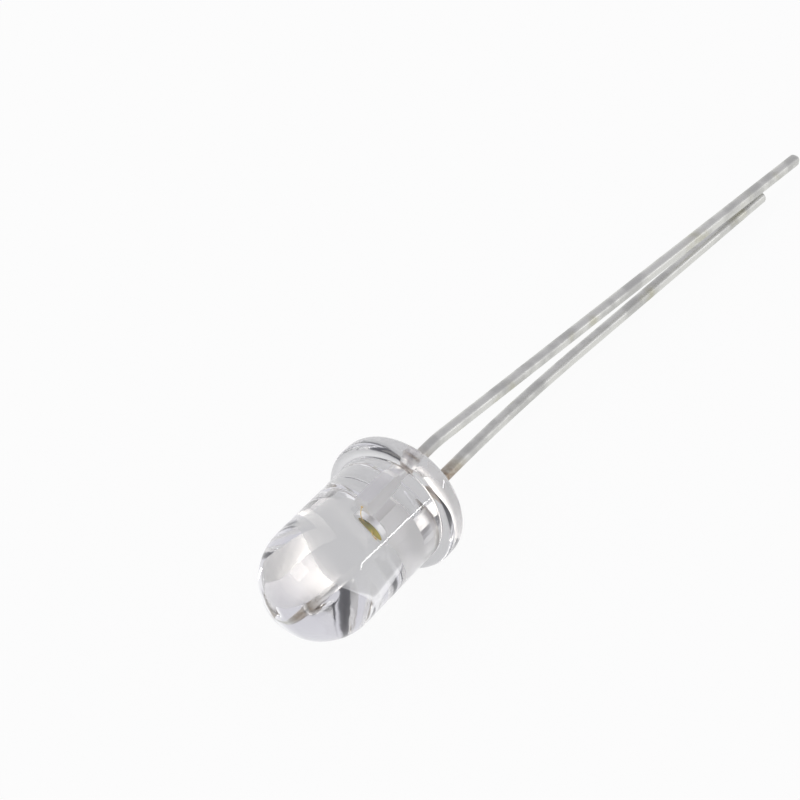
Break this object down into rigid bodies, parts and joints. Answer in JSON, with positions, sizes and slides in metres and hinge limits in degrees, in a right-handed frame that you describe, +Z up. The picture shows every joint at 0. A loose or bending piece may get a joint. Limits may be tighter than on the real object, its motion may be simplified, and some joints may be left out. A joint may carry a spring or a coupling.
{
  "type": "through hole led",
  "caption": "Clear round-dome through hole LED with a collar, a cathode flat and long, slightly bent tinned leads, lying on its side.",
  "frame": {"origin": "centre of the seat, the flat back of the lens that the leads leave", "axes": "+Y from the seat along the leads, +X to the side that the leads bend to, +Z up; the LED lies on the edge of its cathode flat and on the end of its cathode"},
  "size_m": [0.006, 0.0382, 0.0055],
  "materials": {
    "lens": "water clear cast epoxy, glossy",
    "leads": "tinned, softly shining, with dull patches",
    "phosphor": "yellow phosphor in clear gel",
    "die": "polished chip",
    "die_bond": "cured adhesive",
    "bond_wires": "bright gold"
  },
  "bodies": {
    "root": {"lens": "lens", "anode_lead": "leads", "cathode_lead": "leads", "phosphor": "phosphor", "die": "die", "die_bond": "die_bond", "anode_wire": "bond_wires", "cathode_wire": "bond_wires"}
  },
  "joints": []
}
